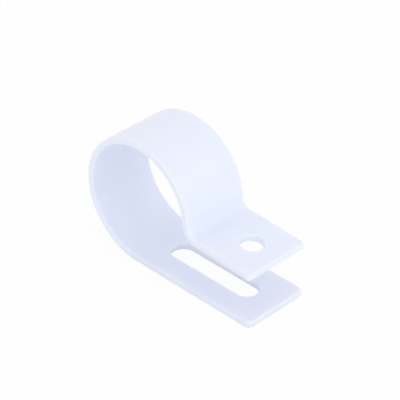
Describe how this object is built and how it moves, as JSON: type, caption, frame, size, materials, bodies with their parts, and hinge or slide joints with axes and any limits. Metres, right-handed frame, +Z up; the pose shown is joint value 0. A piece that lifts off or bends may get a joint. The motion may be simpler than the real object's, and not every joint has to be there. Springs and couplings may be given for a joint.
{
  "type": "p clip",
  "caption": "P-shaped cable clamp: a flat moulded strap loops round a cable bundle and ends in an upper flange with a screw hole over a lower flange with a long slot.",
  "frame": {"origin": "on the axis of the open loop, where the cable runs, at the middle of the strap's width", "axes": "+X along the cable, +Z up from the panel that the lower flange lies on; the flanges point to -Y"},
  "size_m": [0.0126, 0.0361, 0.0226],
  "materials": {
    "nylon": "natural nylon, milky and slightly bluish, translucent, smooth satin as moulded"
  },
  "bodies": {
    "root": {"p_clip": "nylon"}
  },
  "joints": []
}
